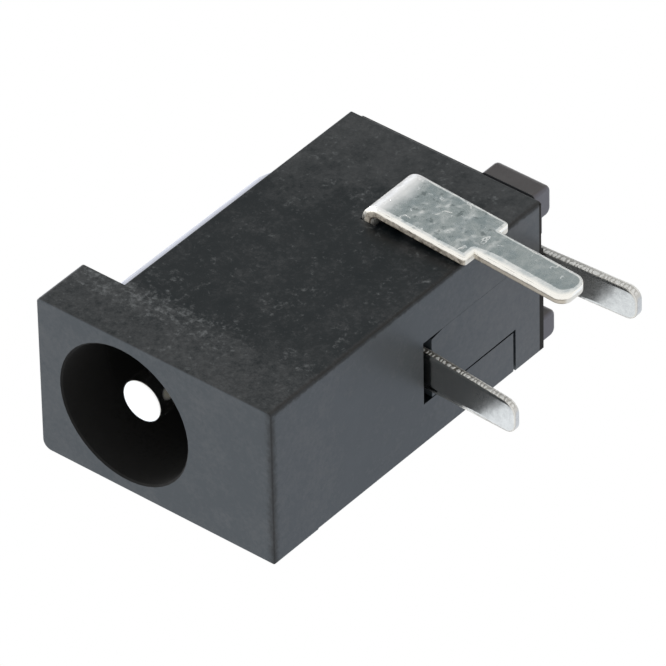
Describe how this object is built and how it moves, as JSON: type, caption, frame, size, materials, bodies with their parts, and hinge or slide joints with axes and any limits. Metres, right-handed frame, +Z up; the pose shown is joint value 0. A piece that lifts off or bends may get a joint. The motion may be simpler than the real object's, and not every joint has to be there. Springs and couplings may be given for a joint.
{
  "type": "dc barrel jack",
  "caption": "Small black board-mount dc barrel jack with a tall square flange, a rounded barrel hump, a centre pin in an open bore and plated tabs below for the pin, the sleeve and the switch.",
  "frame": {"origin": "middle of the flat seating face that lies on the board", "axes": "+Z up from the board, -Y out of the plug mouth, +X towards the switch terminal"},
  "size_m": [0.0055, 0.012, 0.011],
  "materials": {
    "black_moulding": "black moulded thermoplastic, fine matte grain",
    "pin_plating": "turned brass with bright nickel plating",
    "tin_plating": "stamped brass strip with tin plating"
  },
  "bodies": {
    "root": {"housing": "black_moulding", "rear_cover": "black_moulding", "centre_pin": "pin_plating", "pin_terminal": "tin_plating", "sleeve_spring": "tin_plating", "switch_terminal": "tin_plating"}
  },
  "joints": []
}
